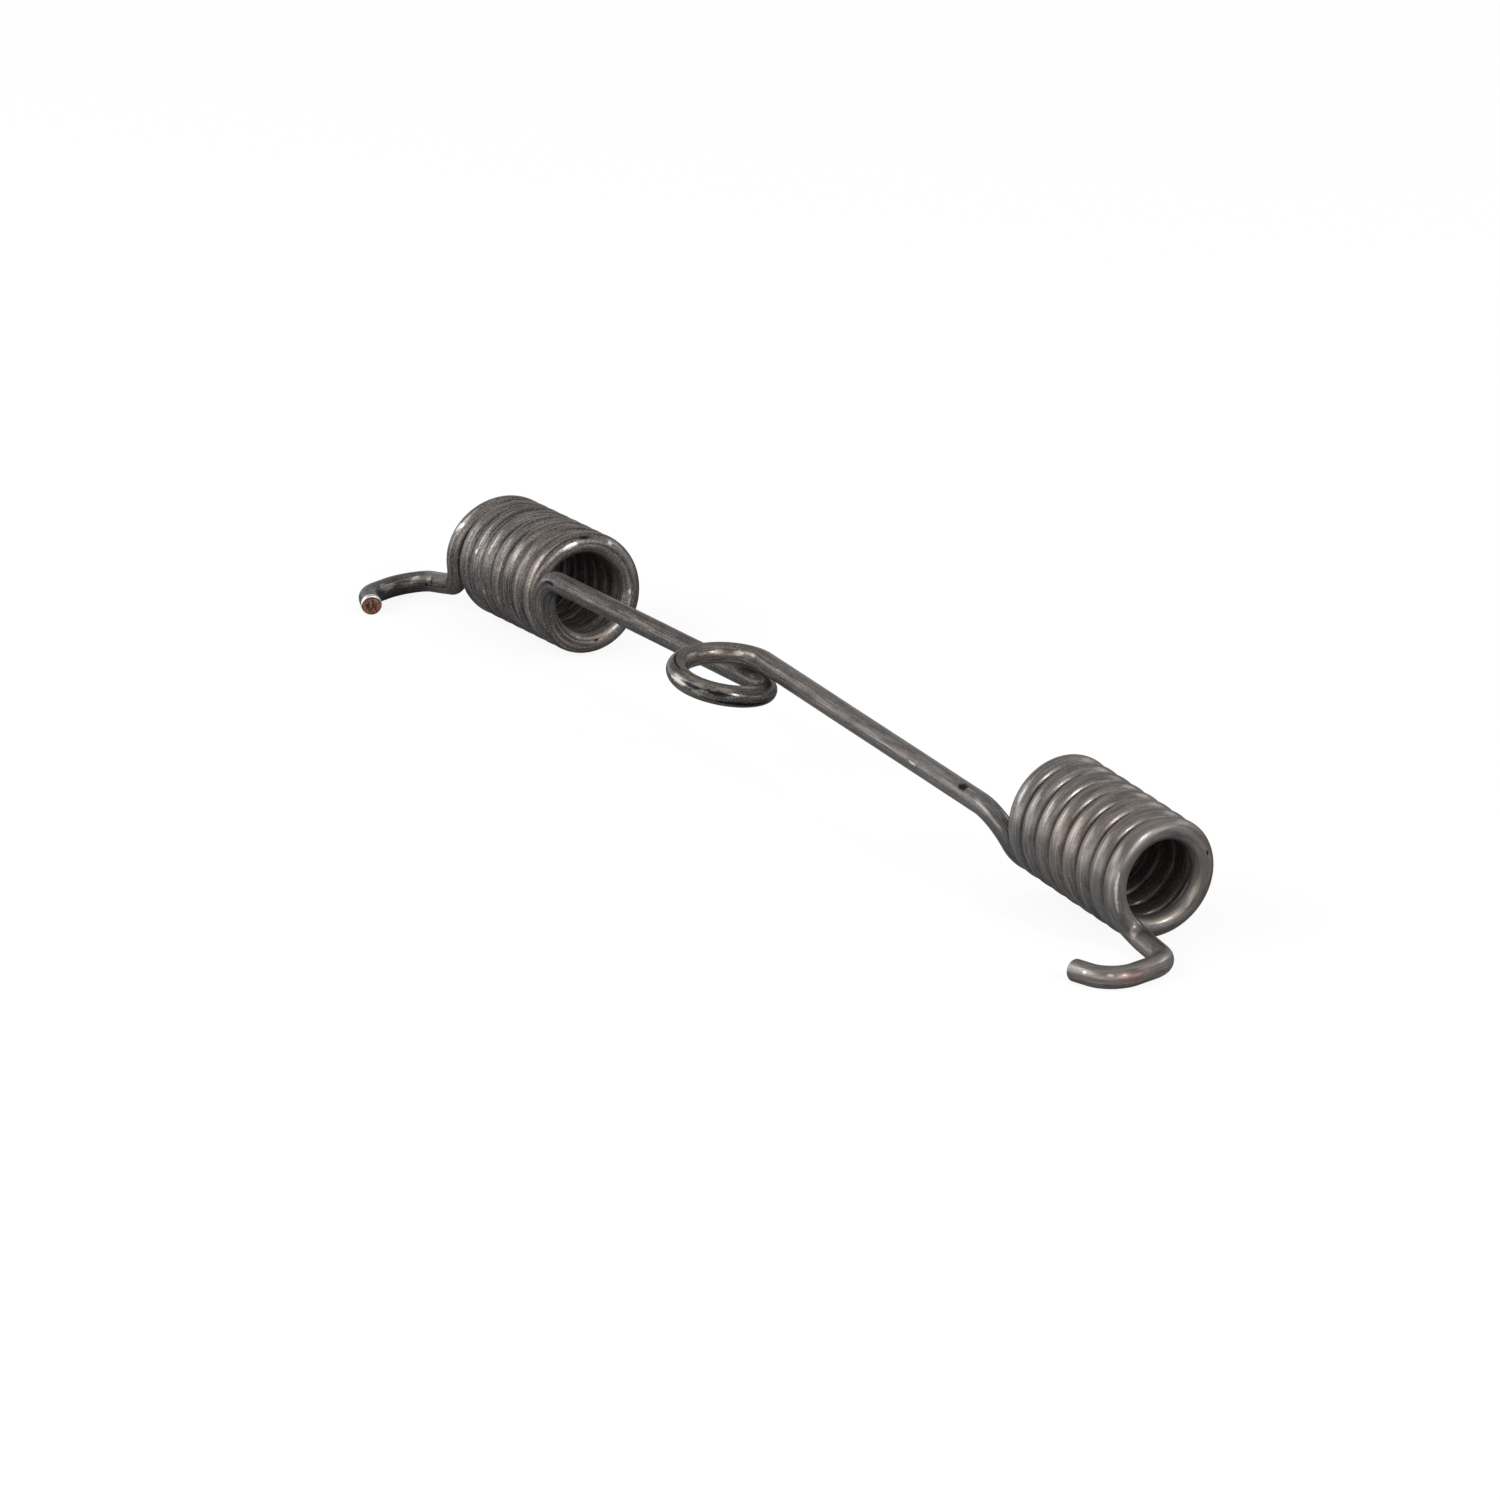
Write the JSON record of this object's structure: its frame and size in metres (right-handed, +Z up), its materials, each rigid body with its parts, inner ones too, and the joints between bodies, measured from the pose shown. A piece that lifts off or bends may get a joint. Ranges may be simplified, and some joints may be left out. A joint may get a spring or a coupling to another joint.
{
  "type": "brake shoe spring",
  "caption": "Drum brake shoe return spring: one steel wire with a coil and a flat hook at each end and a small loop between two straight shanks.",
  "frame": {"origin": "bottom centre of the spring's box as it lies on a bench, on both coils and both hooks", "axes": "+X along the spring towards the longer shank, +Y away from the hooks, +Z up"},
  "size_m": [0.2854, 0.0421, 0.0257],
  "materials": {
    "spring_steel": "dark oil-tempered drawn wire, semi-gloss"
  },
  "bodies": {
    "root": {"spring_wire": "spring_steel"}
  },
  "joints": []
}
